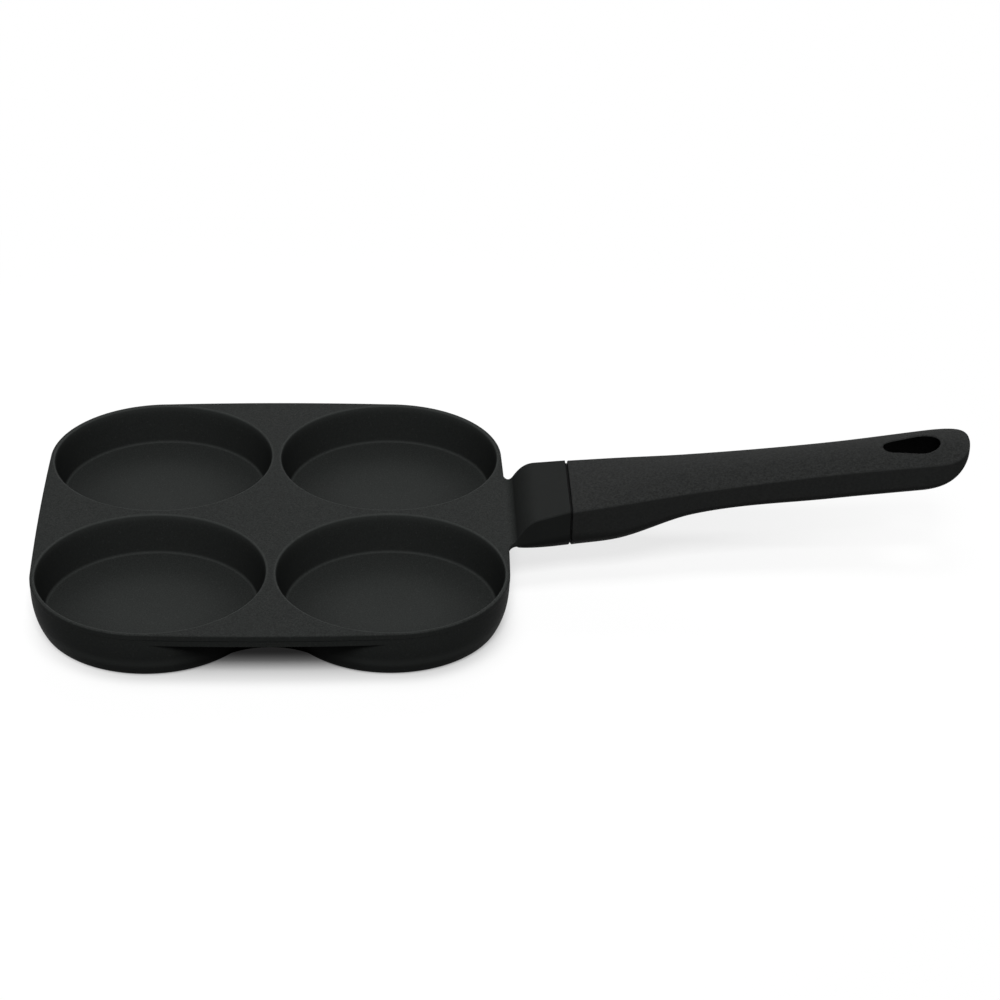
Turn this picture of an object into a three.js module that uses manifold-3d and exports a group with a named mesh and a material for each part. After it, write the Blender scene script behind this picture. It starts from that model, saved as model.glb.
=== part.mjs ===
// A pan with four shallow round cups in one rounded square deck, and a fixed handle.
// The handle is a smooth metal guard, a thin gasket and a moulded grip, slid over a cast lug and held
// by one screw from below. Millimetres, +Z up. The pan stands on Z = 0 and its handle points along +X.

import * as THREE from 'three';
import { mergeVertices } from 'three/addons/utils/BufferGeometryUtils.js';
import Module from 'manifold-3d';

// Cups and deck
const cupMouthRadius = 45.8;
const cupLand = 4.2;
const cupDraft = 2.8;
const cupDepth = 16.2;
const cupFloorThickness = 5;
const cupWall = 2.05;
const mouthRound = 0.8;
const floorFillet = 1.2;
const footRound = 1.7;
const footTurnIn = 4.55;
const footTurnPower = 2.9;
const deckThickness = 2.5;
const deckEdgeRound = 0.4;
const frontBow = 1.2;
const endBow = 0.6;
const lipDepth = 5.1;
const lipWidth = 2.4;
const lipInset = 0.25;
const wallInset = 0.1;
const webFillet = 28.5;
const webFootRadius = 44.4;
const webFootGap = 2.2;

// Tongue that sweeps up to the guard through an angle in degrees, and the lug that carries the handle
const tongueLength = 3.5;
const tongueTurn = 61;
const tongueFlare = 7;
const tongueBossLength = 15;
const lugWidth = 18;
const lugThickness = 8;
const lugRootThickness = 3;
const lugRootStep = 1.1;
const lugHeadroom = 1.8;
const lugRiseLength = 16.5;
const lugReach = 28;

// Guard between the tongue and the grip
const guardLength = 21.7;
const guardSlope = 0.19;
const guardShoulderPower = 2.5;
const guardBellyLength = 17;
const guardRootHalfWidth = 26.2;
const guardRootSide = 0.85;
const guardRootBelly = 4.8;
const guardWall = 2;
const guardEdgeRound = 0.7;

// Grip: its section at five places along its length. The first, at the seam, is the guard's end too.
const gripLength = 163.7;
const gripSlope = 0.1205;
const gripEdgeRound = 1;
const seamTop = 12.4;
const seamHalfWidth = 22;
const seamSide = 9.9;
const seamBelly = 13;
const seamCrown = 0.6;
const heelAt = 20;
const heelHalfWidth = 20;
const heelSide = 11.5;
const heelBelly = 10.9;
const heelCrown = 1.6;
const waistAt = 49.5;
const waistHalfWidth = 16.6;
const waistSide = 8.1;
const waistBelly = 6.9;
const waistCrown = 2.3;
const palmFromTip = 57;
const palmHalfWidth = 14;
const palmSide = 9.05;
const palmBelly = 6.5;
const palmCrown = 2.4;
const endHalfWidth = 15.4;
const endSide = 9;
const endBelly = 6.6;
const endCrown = 2.4;
const tipPlanLength = 15;
const tipRiseLength = 20;
const tipPlanPower = 2.7;

// Teardrop hang hole
const hangHoleFromTip = 19.2;
const hangHoleLength = 23.2;
const hangHoleWideRadius = 7.4;
const hangHoleNarrowRadius = 4.7;

// Gasket, screw, washers and bush
const gasketThickness = 0.5;
const gasketInset = 0.8;
const screwFromSeam = 16.5;
const screwRadius = 2.25;
const screwHeadRadius = 4.6;
const screwHeadHeight = 2.8;
const crossRecessLength = 5;
const crossRecessWidth = 1.2;
const crossRecessDepth = 1.8;
const flatWasherRadius = 5;
const flatWasherThickness = 0.8;
const springWasherRadius = 4.4;
const springWasherThickness = 1.2;
const springWasherSplit = 1;
const gripFloorUnderLug = 2.6;
const bushRadius = 4.5;

// Gaps between touching pieces
const clearance = 0.3;
const seamGap = 0.15;

// Steps of round and smooth shapes
const cupSteps = 48;
const boreSteps = 24;
const cornerSteps = 12;
const roundSteps = 3;
const bellySteps = 12;
const crownSteps = 6;
const edgeSteps = 2;
const tongueSteps = 6;
const wallSteps = 7;
const guardSteps = 9;
const gripSteps = 20;
const tipSteps = 8;
const tipQuarterSteps = 8.5;
const mergeDistance = 1e-4;
const cutMargin = 5;

// Most of a section's side and half width that its top edge rounds may take
const roundSideShare = 0.6;
const roundWidthShare = 0.3;

// Levels and places that follow from the sizes
const deckTop = cupDepth + cupFloorThickness;
const cupPitch = 2 * cupMouthRadius + cupLand;
const cupFloorRadius = cupMouthRadius - cupDraft;
const panHalf = cupPitch / 2 + cupMouthRadius + cupWall;
const cornerRadius = cupMouthRadius + cupWall;
const rootX = panHalf + tongueLength;
const guardStartX = rootX + clearance;
const seamX = guardStartX + guardLength;
const gasketX = seamX + seamGap;
const gripStartX = gasketX + gasketThickness + seamGap;
const tipX = gripStartX + gripLength;
const sweepLength = guardStartX - panHalf;
const sweepAngle = THREE.MathUtils.degToRad(tongueTurn);
const sweepRadius = sweepLength / Math.sin(sweepAngle);
const tongueRise = sweepRadius * (1 - Math.cos(sweepAngle));
const guardSlopeRise = guardSlope * guardLength;
const guardShoulderRise = seamTop - guardSlopeRise - tongueRise;
const guardShoulder = guardShoulderPower * guardShoulderRise / (Math.tan(sweepAngle) - guardSlope);
const lugEndX = seamX + lugReach;
const lugTop = deckTop + seamTop - guardWall - lugHeadroom;
const lugBottom = lugTop - lugThickness;
const screwX = seamX + screwFromSeam;
const cupCentres = [[-1, -1], [1, -1], [1, 1], [-1, 1]]
  .map(([x, y]) => [x * cupPitch / 2, y * cupPitch / 2]);

const wasm = await Module();
wasm.setup();

function solid(geometry) {
  geometry.deleteAttribute('normal');
  geometry.deleteAttribute('uv');
  const merged = mergeVertices(geometry, mergeDistance);
  const vertProperties = new Float32Array(merged.attributes.position.array);
  const triVerts = new Uint32Array(merged.index.array);
  return new wasm.Manifold(new wasm.Mesh({ numProp: 3, vertProperties, triVerts }));
}

function piece(name, body, color, roughness, metalness) {
  const { vertProperties, triVerts } = body.getMesh();
  const geometry = new THREE.BufferGeometry();
  geometry.setAttribute('position', new THREE.BufferAttribute(vertProperties, 3));
  geometry.setIndex(new THREE.BufferAttribute(triVerts, 1));
  geometry.computeVertexNormals();
  const mesh = new THREE.Mesh(geometry, new THREE.MeshStandardMaterial({ color, roughness, metalness }));
  mesh.name = name;
  return mesh;
}

// Points of a quarter round of radius r about (x, y), from angle a to angle b in quarter turns
function arcPoints(x, y, r, a, b, steps) {
  return Array.from({ length: steps + 1 }, (_, i) => {
    const angle = (a + (b - a) * i / steps) * Math.PI / 2;
    return new THREE.Vector2(x + r * Math.cos(angle), y + r * Math.sin(angle));
  });
}

// A profile of (radius, height) points turned about the vertical axis
function turned(profile, steps, x, y) {
  const geometry = new THREE.LatheGeometry(profile, steps);
  geometry.rotateX(Math.PI / 2);
  geometry.translate(x, y, 0);
  return solid(geometry);
}

function ring(inner, outer, low, high, x) {
  const profile = [[inner, low], [outer, low], [outer, high], [inner, high], [inner, low]];
  return turned(profile.map(([r, z]) => new THREE.Vector2(r, z)), boreSteps, x, 0);
}

function rod(radius, low, high, x) {
  const profile = [[0, low], [radius, low], [radius, high], [0, high]];
  return turned(profile.map(([r, z]) => new THREE.Vector2(r, z)), boreSteps, x, 0);
}

function block(sizeX, sizeY, sizeZ, x, y, z) {
  const geometry = new THREE.BoxGeometry(sizeX, sizeY, sizeZ);
  geometry.translate(x, y, z);
  return solid(geometry);
}

// Deck outline: a rounded square with slightly bowed sides, inset by a distance
function deckOutline(inset) {
  const half = panHalf - inset;
  const corner = cornerRadius - inset;
  const middle = half - corner;
  const frontCrest = half + 2 * frontBow;
  const endCrest = half + 2 * endBow;
  const outline = new THREE.Shape();
  outline.moveTo(half, -middle);
  outline.quadraticCurveTo(endCrest, 0, half, middle);
  outline.absarc(middle, middle, corner, 0, Math.PI / 2, false);
  outline.quadraticCurveTo(0, frontCrest, -middle, half);
  outline.absarc(-middle, middle, corner, Math.PI / 2, Math.PI, false);
  outline.quadraticCurveTo(-endCrest, 0, -half, -middle);
  outline.absarc(-middle, -middle, corner, Math.PI, Math.PI * 1.5, false);
  outline.quadraticCurveTo(0, -frontCrest, middle, -half);
  outline.absarc(middle, -middle, corner, Math.PI * 1.5, Math.PI * 2, false);
  return outline;
}

function slabGeometry(outline, low, high, round) {
  const geometry = new THREE.ExtrudeGeometry(outline, {
    depth: high - low - 2 * round,
    curveSegments: cornerSteps,
    bevelEnabled: round > 0,
    bevelSize: round,
    bevelOffset: -round,
    bevelThickness: round,
    bevelSegments: edgeSteps,
  });
  geometry.translate(0, 0, low + round);
  return geometry;
}

function slab(outline, low, high, round) {
  return solid(slabGeometry(outline, low, high, round));
}

// Handle section at one place along X: a crowned top, rounded top edges, upright sides, elliptic belly.
// Points run round the outline, seen from +X, as (y, z).
function section({ halfWidth, edgeZ, crown, side, belly, round }) {
  const r = Math.min(round, side * roundSideShare, halfWidth * roundWidthShare);
  const points = [];
  for (let i = 0; i <= bellySteps; i += 1) {
    const angle = Math.PI * (1 + i / bellySteps);
    points.push([halfWidth * Math.cos(angle), edgeZ - side + belly * Math.sin(angle)]);
  }
  arcPoints(halfWidth - r, edgeZ - r, r, 0, 1, roundSteps).forEach((p) => points.push([p.x, p.y]));
  const flat = halfWidth - r;
  for (let i = 1; i < crownSteps; i += 1) {
    const y = flat * (1 - 2 * i / crownSteps);
    points.push([y, edgeZ + crown * (1 - (y / flat) ** 2)]);
  }
  arcPoints(r - halfWidth, edgeZ - r, r, 1, 2, roundSteps).forEach((p) => points.push([p.x, p.y]));
  return points;
}

// A closed skin through sections at given places along X
function loft(stations) {
  const rows = stations.map((s) => section(s).map(([y, z]) => [s.x, y, z]));
  const around = rows[0].length;
  const positions = rows.flat(2);
  const index = [];
  for (let i = 0; i + 1 < rows.length; i += 1) {
    for (let j = 0; j < around; j += 1) {
      const a = i * around + j;
      const b = i * around + (j + 1) % around;
      index.push(a, b, a + around, b, b + around, a + around);
    }
  }
  const capAt = (row, flip) => {
    const centre = positions.length / 3;
    const mid = stations[row].edgeZ - stations[row].side / 2;
    positions.push(stations[row].x, 0, mid);
    for (let j = 0; j < around; j += 1) {
      const a = row * around + j;
      const b = row * around + (j + 1) % around;
      index.push(...(flip ? [centre, b, a] : [centre, a, b]));
    }
  };
  capAt(0, true);
  capAt(rows.length - 1, false);
  const geometry = new THREE.BufferGeometry();
  geometry.setAttribute('position', new THREE.Float32BufferAttribute(positions, 3));
  geometry.setIndex(index);
  return solid(geometry);
}

// A quarter ellipse's height, as a share, at a distance from its foot
function quarterRise(along, length) {
  return Math.sqrt(1 - (1 - Math.min(1, along / length)) ** 2);
}

// Guard section at a distance from the tongue: a shoulder that carries on the tongue's sweep,
// then a straight slope to the seam
function guardStation(along, inset) {
  const u = along / guardLength;
  const shoulder = 1 - (1 - Math.min(1, along / guardShoulder)) ** guardShoulderPower;
  const top = tongueRise + guardShoulderRise * shoulder + guardSlopeRise * u;
  const rootDepth = guardRootSide + guardRootBelly;
  const seamDepth = seamSide + seamBelly - seamTop;
  const bottom = -rootDepth - (seamDepth - rootDepth) * quarterRise(along, guardBellyLength);
  const spring = -guardRootSide + (seamTop - seamSide + guardRootSide) * u;
  return {
    x: guardStartX + along,
    halfWidth: guardRootHalfWidth + (seamHalfWidth - guardRootHalfWidth) * u - inset,
    edgeZ: deckTop + top - inset,
    crown: 0,
    side: top - spring - inset,
    belly: spring - bottom - inset,
    round: guardEdgeRound,
  };
}

// Tongue section at an angle round its flare: a right angle at the deck's edge, none at the guard
function tongueStation(angle) {
  const run = sweepLength * (1 - Math.sin(angle));
  const rise = sweepRadius - Math.sqrt(sweepRadius ** 2 - run ** 2);
  return {
    ...guardStation(0, 0),
    x: panHalf + run,
    halfWidth: guardRootHalfWidth + tongueFlare * (1 - Math.cos(angle)),
    edgeZ: deckTop + rise,
    side: guardRootSide + rise,
    round: deckEdgeRound,
  };
}

// Grip section at a distance from the seam, smooth through the five named places
const gripValues = new THREE.CubicInterpolant(
  [0, heelAt, waistAt, gripLength - palmFromTip, gripLength - tipPlanLength],
  [
    seamHalfWidth, seamSide, seamBelly, seamCrown,
    heelHalfWidth, heelSide, heelBelly, heelCrown,
    waistHalfWidth, waistSide, waistBelly, waistCrown,
    palmHalfWidth, palmSide, palmBelly, palmCrown,
    endHalfWidth, endSide, endBelly, endCrown,
  ],
  4,
  new Float64Array(4),
);

function gripStation(along) {
  const body = Math.min(along, gripLength - tipPlanLength);
  const [halfWidth, side, belly, crown] = gripValues.evaluate(body);
  const inTip = Math.max(0, along - body) / tipPlanLength;
  const inRise = Math.max(0, along - (gripLength - tipRiseLength)) / tipRiseLength;
  const plan = (1 - inTip ** tipPlanPower) ** (1 / tipPlanPower);
  const depth = Math.sqrt(1 - inRise ** 2);
  return {
    x: gripStartX + along,
    halfWidth: halfWidth * plan,
    edgeZ: deckTop + seamTop + gripSlope * along + crown * (1 - plan ** 2),
    crown: crown * plan ** 2,
    side: side * depth,
    belly: belly * depth,
    round: gripEdgeRound,
  };
}

// The lug, or the space that it slides into when a gap is given
function lug(gap) {
  const top = lugTop + gap;
  const bottom = lugBottom - gap;
  const rootTop = deckTop - lugRootStep + gap;
  const rootBottom = deckTop - lugRootStep - lugRootThickness - gap;
  const outline = new THREE.Shape([
    [rootX - tongueLength, rootBottom],
    [rootX, rootBottom],
    [rootX + lugRiseLength + gap, bottom],
    [lugEndX + gap, bottom],
    [lugEndX + gap, top],
    [rootX + lugRiseLength - gap, top],
    [rootX, rootTop],
    [rootX - tongueLength, rootTop],
  ].map(([x, z]) => new THREE.Vector2(x, z)));
  const width = lugWidth + 2 * gap;
  const geometry = new THREE.ExtrudeGeometry(outline, { depth: width, bevelEnabled: false });
  geometry.rotateX(Math.PI / 2);
  geometry.translate(0, width / 2, 0);
  return solid(geometry);
}

// The radius of a cup's outside at a height: upright below the deck, turning in towards a rounded foot
function cupSide(z) {
  const turnIn = footTurnIn * (1 - z / deckTop) ** footTurnPower;
  const aboveFoot = Math.max(0, 1 - z / footRound);
  return cornerRadius - wallInset - turnIn - footRound * (1 - Math.sqrt(1 - aboveFoot ** 2));
}

function cupOutside([x, y]) {
  const top = deckTop - deckThickness / 2;
  const quarter = Math.PI / 2;
  const heights = [];
  for (let i = 0; i < roundSteps; i += 1) heights.push(footRound * (1 - Math.cos(quarter * i / roundSteps)));
  for (let i = 0; i <= wallSteps; i += 1) heights.push(footRound + (top - footRound) * i / wallSteps);
  const profile = [
    new THREE.Vector2(0, 0),
    ...heights.map((z) => new THREE.Vector2(cupSide(z), z)),
    new THREE.Vector2(0, top),
  ];
  return turned(profile, cupSteps, x, y);
}

function cupInside([x, y]) {
  const filletZ = cupFloorThickness + floorFillet;
  const lipRadius = cupMouthRadius + mouthRound;
  const profile = [
    new THREE.Vector2(0, cupFloorThickness),
    ...arcPoints(cupFloorRadius - floorFillet, filletZ, floorFillet, -1, 0, roundSteps),
    ...arcPoints(lipRadius, deckTop - mouthRound, mouthRound, 2, 1, roundSteps),
    new THREE.Vector2(lipRadius, deckTop + cutMargin),
    new THREE.Vector2(0, deckTop + cutMargin),
  ];
  return turned(profile, cupSteps, x, y);
}

// The web that joins two neighbouring cups, with a hollow round at each end
function cupWeb(quarterTurns) {
  const half = cupPitch / 2;
  const reach = Math.sqrt((webFootRadius + webFillet) ** 2 - half ** 2);
  const lean = Math.atan2(reach, half);
  const outline = new THREE.Shape();
  outline.absarc(0, reach, webFillet, -lean, lean - Math.PI, true);
  outline.absarc(0, -reach, webFillet, Math.PI - lean, lean, true);
  const geometry = slabGeometry(outline, webFootGap, deckTop - deckThickness / 2, 0);
  geometry.translate(0, half, 0);
  geometry.rotateZ(quarterTurns * Math.PI / 2);
  return solid(geometry);
}

// The tongue, from a boss buried under the deck to a small gap before the guard
function tongue() {
  const quarter = Math.PI / 2;
  const last = Math.asin(clearance / sweepLength);
  const stations = Array.from({ length: tongueSteps + 1 }, (_, i) => (
    tongueStation(quarter + (last - quarter) * i / tongueSteps)
  ));
  const buried = {
    ...stations[0],
    x: rootX - tongueBossLength,
    edgeZ: deckTop - deckEdgeRound,
    side: guardRootSide - deckEdgeRound,
  };
  return loft([buried, ...stations]);
}

function panCasting() {
  const lip = slab(deckOutline(lipInset), deckTop - lipDepth, deckTop - deckThickness / 2, 0)
    .subtract(slab(deckOutline(lipWidth), deckTop - lipDepth - cutMargin, deckTop, 0));
  let body = slab(deckOutline(0), deckTop - deckThickness, deckTop, deckEdgeRound)
    .add(lip)
    .add(tongue())
    .add(lug(0));
  cupCentres.forEach((centre, i) => { body = body.add(cupOutside(centre)).add(cupWeb(i)); });
  cupCentres.forEach((centre) => { body = body.subtract(cupInside(centre)); });
  return body.subtract(rod(bushRadius + clearance, lugBottom - cutMargin, lugTop + cutMargin, screwX));
}

function heatGuard() {
  const ease = (i) => 1 - Math.cos(i / guardSteps * Math.PI / 2);
  const steps = Array.from({ length: guardSteps + 1 }, (_, i) => guardLength * ease(i));
  const skin = loft(steps.map((along) => guardStation(along, 0)));
  const hollow = steps.filter((along) => along > guardWall).map((along) => guardStation(along, guardWall));
  const mouth = { ...hollow.at(-1), x: seamX + cutMargin };
  return skin.subtract(loft([...hollow, mouth])).subtract(lug(clearance));
}

function heatGasket() {
  const face = guardStation(guardLength, gasketInset);
  const sheet = loft([gasketX, gasketX + gasketThickness].map((x) => ({ ...face, x })));
  return sheet.subtract(lug(clearance));
}

// Bore for the screw, and the levels of its stack from the grip's floor under the lug downwards
const screwBore = screwRadius + clearance;
const seatZ = lugBottom - clearance - gripFloorUnderLug;
const flatWasherTop = seatZ - clearance;
const springWasherTop = flatWasherTop - flatWasherThickness - clearance;
const headTop = springWasherTop - springWasherThickness - clearance;
const headBottom = headTop - screwHeadHeight;

function hangHole() {
  const wideX = tipX - hangHoleFromTip;
  const narrowX = wideX + hangHoleWideRadius - hangHoleLength + hangHoleNarrowRadius;
  const lean = Math.asin((hangHoleWideRadius - hangHoleNarrowRadius) / (wideX - narrowX));
  const outline = new THREE.Shape();
  outline.absarc(wideX, 0, hangHoleWideRadius, -Math.PI / 2 - lean, Math.PI / 2 + lean, false);
  outline.absarc(narrowX, 0, hangHoleNarrowRadius, Math.PI / 2 + lean, Math.PI * 1.5 - lean, false);
  return slab(outline, 0, deckTop + seamTop + gripLength, 0);
}

function grip() {
  const bodyLength = gripLength - tipPlanLength;
  const alongBody = Array.from({ length: gripSteps + 1 }, (_, i) => bodyLength * i / gripSteps);
  const intoTip = (i) => tipPlanLength * Math.sin((i + 1) / tipQuarterSteps * Math.PI / 2);
  const alongTip = Array.from({ length: tipSteps }, (_, i) => bodyLength + intoTip(i));
  const stations = [...alongBody, ...alongTip].map(gripStation);
  const counterbore = Math.max(flatWasherRadius, springWasherRadius, screwHeadRadius) + clearance;
  return loft(stations)
    .subtract(lug(clearance))
    .subtract(rod(screwRadius + 2 * clearance, seatZ - cutMargin, lugBottom + clearance, screwX))
    .subtract(rod(counterbore, 0, seatZ, screwX))
    .subtract(hangHole());
}

function handleScrew() {
  const shankTop = lugTop - clearance;
  const recess = (sizeX, sizeY) => block(sizeX, sizeY, 2 * crossRecessDepth, screwX, 0, headBottom);
  return rod(screwHeadRadius, headBottom, headTop, screwX)
    .add(rod(screwRadius, headBottom + screwHeadHeight / 2, shankTop, screwX))
    .subtract(recess(crossRecessLength, crossRecessWidth))
    .subtract(recess(crossRecessWidth, crossRecessLength));
}

function springWasher() {
  const low = springWasherTop - springWasherThickness;
  const split = block(springWasherRadius * 2, springWasherSplit, 2 * (springWasherThickness + cutMargin),
    screwX + springWasherRadius, 0, low);
  return ring(screwBore, springWasherRadius, low, springWasherTop, screwX).subtract(split);
}

function flatWasher() {
  return ring(screwBore, flatWasherRadius, flatWasherTop - flatWasherThickness, flatWasherTop, screwX);
}

function threadedBush() {
  return ring(screwBore, bushRadius, lugBottom, lugTop, screwX);
}

const pan = new THREE.Group();
pan.position.x = -(tipX - panHalf - endBow) / 2;
pan.add(
  piece('pan_casting', panCasting(), 0x242625, 0.55, 0.2),
  piece('heat_guard', heatGuard(), 0x222423, 0.4, 0.2),
  piece('heat_gasket', heatGasket(), 0x080808, 0.9, 0),
  piece('grip', grip(), 0x272827, 0.6, 0),
  piece('threaded_bush', threadedBush(), 0x9a9c9e, 0.35, 1),
  piece('handle_screw', handleScrew(), 0xa6a8aa, 0.3, 1),
  piece('flat_washer', flatWasher(), 0xa6a8aa, 0.35, 1),
  piece('spring_washer', springWasher(), 0x6d6f72, 0.4, 1),
);

export default pan;
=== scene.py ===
# Frying pan with four shallow cups and a fixed handle.
# Sizes in the dictionaries are millimetres in the pan's own place: X from the pan's centre along the handle,
# Z up from the surface it stands on. Angles are degrees.
import math

import bmesh
import bpy
from mathutils import Matrix, Vector


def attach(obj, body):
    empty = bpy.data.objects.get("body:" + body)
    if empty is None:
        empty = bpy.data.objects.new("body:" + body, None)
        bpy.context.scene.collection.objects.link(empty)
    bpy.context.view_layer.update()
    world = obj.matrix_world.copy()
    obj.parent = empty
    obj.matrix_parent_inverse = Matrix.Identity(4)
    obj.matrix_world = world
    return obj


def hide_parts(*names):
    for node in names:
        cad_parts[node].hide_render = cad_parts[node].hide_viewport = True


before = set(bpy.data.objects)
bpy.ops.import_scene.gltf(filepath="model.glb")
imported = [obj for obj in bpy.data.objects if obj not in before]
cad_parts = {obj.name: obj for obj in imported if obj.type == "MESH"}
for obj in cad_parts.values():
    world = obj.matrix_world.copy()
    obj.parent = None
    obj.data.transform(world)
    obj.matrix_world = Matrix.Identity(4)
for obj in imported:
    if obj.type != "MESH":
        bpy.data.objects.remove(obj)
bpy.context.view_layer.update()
scene = bpy.context.scene
scene.view_settings.view_transform = "Standard"
mm = 0.001

# camera

shot = {
    "lens": 112.33, "sensor": 36.0, "clip": (0.05, 60.0), "target": (-0.89, 9.79, 21.2), "distance": 1300.2,
    "elevation": 29.481, "yaw": -2.774, "roll": 1.272,
}


def makeCamera(values):
    yaw, lift, roll = (math.radians(values[k]) for k in ("yaw", "elevation", "roll"))
    back = Vector((math.sin(yaw) * math.cos(lift), -math.cos(yaw) * math.cos(lift), math.sin(lift)))
    right = Vector((math.cos(yaw), math.sin(yaw), 0))
    up = back.cross(right)
    rolledRight = right * math.cos(roll) + up * math.sin(roll)
    rolledUp = up * math.cos(roll) - right * math.sin(roll)
    data = bpy.data.cameras.new("camera")
    data.lens, data.sensor_width = values["lens"], values["sensor"]
    data.clip_start, data.clip_end = values["clip"]
    holder = bpy.data.objects.new("camera", data)
    turn = Matrix((rolledRight, rolledUp, back)).transposed().to_4x4()
    place = (Vector(values["target"]) + back * values["distance"]) * mm
    holder.matrix_world = Matrix.Translation(place) @ turn
    scene.collection.objects.link(holder)
    scene.camera = holder


makeCamera(shot)
print("camera set")

# sizes shared by the pieces

panCentre = -94.7
cup = {
    "mouthRadius": 45.8, "land": 4.2, "draft": 2.8, "depth": 16.2, "floor": 5.0, "wall": 2.05,
    "mouthRound": 0.8, "floorFillet": 1.2, "footRound": 1.7, "turnIn": 4.55, "turnPower": 2.9, "inset": 0.1,
    "steps": 192, "roundSteps": 8, "wallSteps": 24,
}
tray = {
    "deck": 2.5, "edgeRound": 0.4, "frontBow": 1.2, "endBow": 0.6, "cornerSteps": 64, "roundSteps": 6,
    "lipDepth": 5.1, "lipWidth": 2.4, "lipRound": 0.4, "lipInset": 0.25,
    "webFillet": 28.5, "webFootRadius": 44.4, "webFootGap": 2.2, "webSteps": 24,
    "tongueLength": 3.5, "tongueTurn": 61.0, "tongueFlare": 7.0, "tongueSteps": 32, "bossLength": 15.0,
}
lug = {
    "width": 18.0, "thickness": 8.0, "rootThickness": 3.0, "rootStep": 1.1, "headroom": 1.8,
    "riseLength": 16.5, "reach": 28.0,
}
guard = {
    "length": 21.7, "slope": 0.19, "shoulderPower": 2.5, "bellyLength": 17.0, "rootHalfWidth": 26.2,
    "rootSide": 0.85, "rootBelly": 4.8, "wall": 2.0, "edgeRound": 0.7, "endRound": 0.3,
    "steps": 48, "endSteps": 4,
}
gasket = {"thickness": 0.5, "inset": 0.8, "chamfer": 0.1}
grip = {
    "length": 163.7, "slope": 0.1205, "edgeRound": 1.0, "endRound": 0.45, "seamTop": 12.4,
    "tipPlanLength": 15.0, "tipRiseLength": 20.0, "tipPlanPower": 2.7, "tipEnd": 0.985,
    "floorUnderLug": 2.6, "boreStart": 1.0, "boreMouthRound": 0.6,
    "steps": 140, "tipSteps": 40, "endSteps": 4,
    # half width, side, belly and crown at five places: distance from the seam, values
    "places": [
        (0.0, (22.0, 9.9, 13.0, 0.6)), (20.0, (20.0, 11.5, 10.9, 1.6)), (49.5, (16.6, 8.1, 6.9, 2.3)),
        (106.7, (14.0, 9.05, 6.5, 2.4)), (148.7, (15.4, 9.0, 6.6, 2.4)),
    ],
}
screw = {
    "fromSeam": 16.5, "shank": 2.25, "head": 4.6, "headHeight": 2.8, "headRound": 0.7, "headChamfer": 0.2,
    "recessLength": 5.0, "recessWidth": 1.2, "recessDepth": 1.8, "recessPast": 1.0, "recessFoot": 0.62,
    "recessTaper": 0.25, "threadPitch": 0.8, "threadDepth": 0.3, "threadStart": 0.4, "threadSteps": 8,
    "steps": 64, "headSteps": 6,
}
washers = {
    "flatRadius": 5.0, "flatThickness": 0.8, "flatEdge": 0.08,
    "springRadius": 4.4, "springThickness": 1.2, "springEdge": 0.12, "springSplit": 1.0,
}
bush = {"radius": 4.5, "chamfer": 0.3, "knurls": 24, "knurlDepth": 0.2}
gap = {"touching": 0.3, "seam": 0.15, "hairline": 0.04, "cutPast": 5.0}
cutLow, cutHigh = -10.0, 90.0  # heights below and above all of the handle

deckTop = cup["depth"] + cup["floor"]
cupPitch = 2 * cup["mouthRadius"] + cup["land"]
cornerRadius = cup["mouthRadius"] + cup["wall"]
footRadius = cornerRadius - cup["inset"] - cup["turnIn"]
panHalf = cupPitch / 2 + cornerRadius
rootX = panHalf + tray["tongueLength"]
guardStart = rootX + gap["touching"]
seamX = guardStart + guard["length"]
gasketStart = seamX + gap["seam"]
gripStart = gasketStart + gasket["thickness"] + gap["seam"]
tipX = gripStart + grip["length"]
screwX = seamX + screw["fromSeam"]
sweepLength = guardStart - panHalf
sweepAngle = math.radians(tray["tongueTurn"])
sweepRadius = sweepLength / math.sin(sweepAngle)
tongueRise = sweepRadius * (1 - math.cos(sweepAngle))
guardSlopeRise = guard["slope"] * guard["length"]
shoulderRise = grip["seamTop"] - guardSlopeRise - tongueRise
shoulderLength = guard["shoulderPower"] * shoulderRise / (math.tan(sweepAngle) - guard["slope"])
lugTop = deckTop + grip["seamTop"] - guard["wall"] - lug["headroom"]
lugBottom = lugTop - lug["thickness"]
seatZ = lugBottom - gap["touching"] - grip["floorUnderLug"]

# node graphs: a wire is one output, and sums on wires add Math nodes


class Wire:
    def __init__(self, graph, socket):
        self.graph, self.socket = graph, socket

    def sum(self, operation, first, second):
        return self.graph.node("ShaderNodeMath", {"operation": operation}, {0: first, 1: second})

    def __add__(self, other):
        return self.sum("ADD", self, other)

    def __radd__(self, other):
        return self.sum("ADD", other, self)

    def __sub__(self, other):
        return self.sum("SUBTRACT", self, other)

    def __rsub__(self, other):
        return self.sum("SUBTRACT", other, self)

    def __mul__(self, other):
        return self.sum("MULTIPLY", self, other)

    def __rmul__(self, other):
        return self.sum("MULTIPLY", other, self)

    def call(self, operation, other=0.0):
        return self.sum(operation, self, other)


class Graph:
    def __init__(self, tree):
        self.tree = tree
        tree.nodes.clear()

    # settings go first, then socket values or wires; a list of wires fills a socket that takes many
    def node(self, kind, settings=None, sockets=None, out=0):
        made = self.tree.nodes.new(kind)
        for name, value in (settings or {}).items():
            setattr(made, name, value)
        for name, value in (sockets or {}).items():
            for item in value if isinstance(value, list) else [value]:
                if isinstance(item, Wire):
                    self.tree.links.new(item.socket, made.inputs[name])
                else:
                    made.inputs[name].default_value = item
        return Wire(self, made.outputs[out]) if len(made.outputs) else made

    def blend(self, share, first, second):
        return self.node("ShaderNodeMix", {"data_type": "RGBA"}, {0: share, 6: first, 7: second}, 2)


def grey(level, green=0.0):  # a near-neutral colour with a touch of green
    return (level * (1 - green), level * (1 + green), level, 1)


# finishes: each pattern has its size, its noise as detail and roughness, and the edges between dark and light

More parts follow.
